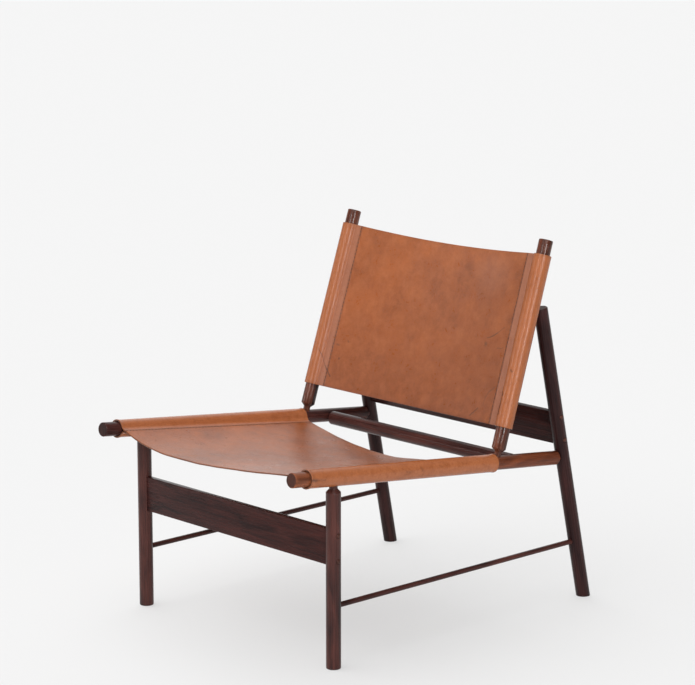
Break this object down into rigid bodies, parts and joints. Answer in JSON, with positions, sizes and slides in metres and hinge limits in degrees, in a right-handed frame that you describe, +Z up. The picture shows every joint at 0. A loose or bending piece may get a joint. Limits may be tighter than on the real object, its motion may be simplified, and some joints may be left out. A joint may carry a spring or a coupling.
{
  "type": "lounge chair",
  "caption": "Low lounge chair: a frame of turned dark wood rods, braced by edge boards and thin stretchers, carrying a leather sling seat and a leather sling back.",
  "frame": {"origin": "on the floor, under the middle of the chair's width and length", "axes": "+X to the sitter's left, -Y the way the sitter faces, +Z up"},
  "size_m": [0.628, 0.8582, 0.7932],
  "materials": {
    "frame_wood": "oiled satin rosewood",
    "plug_wood": "oiled satin rosewood, end grain",
    "screw_steel": "plain steel",
    "sling_leather": "worn saddle leather, satin",
    "stitch_thread": "waxed thread"
  },
  "bodies": {
    "root": {"seat_rail_left": "frame_wood", "seat_rail_right": "frame_wood", "front_leg_left": "frame_wood", "front_leg_right": "frame_wood", "back_post_left": "frame_wood", "back_post_right": "frame_wood", "rear_leg_left": "frame_wood", "rear_leg_right": "frame_wood", "side_stretcher_left": "frame_wood", "side_stretcher_right": "frame_wood", "seat_cross_rail": "frame_wood", "front_board": "frame_wood", "rear_board": "frame_wood", "front_board_left_lower_screw": "screw_steel", "front_board_left_upper_screw": "screw_steel", "front_board_right_lower_screw": "screw_steel", "front_board_right_upper_screw": "screw_steel", "rear_board_left_lower_screw": "screw_steel", "rear_board_left_upper_screw": "screw_steel", "rear_board_right_lower_screw": "screw_steel", "rear_board_right_upper_screw": "screw_steel", "rear_leg_left_screw": "screw_steel", "rear_leg_right_screw": "screw_steel", "front_board_left_lower_plug": "plug_wood", "front_board_left_upper_plug": "plug_wood", "front_board_right_lower_plug": "plug_wood", "front_board_right_upper_plug": "plug_wood", "rear_board_left_lower_plug": "plug_wood", "rear_board_left_upper_plug": "plug_wood", "rear_board_right_lower_plug": "plug_wood", "rear_board_right_upper_plug": "plug_wood", "rear_leg_left_plug": "plug_wood", "rear_leg_right_plug": "plug_wood", "seat_sling": "sling_leather", "back_sling": "sling_leather"}
  },
  "joints": []
}
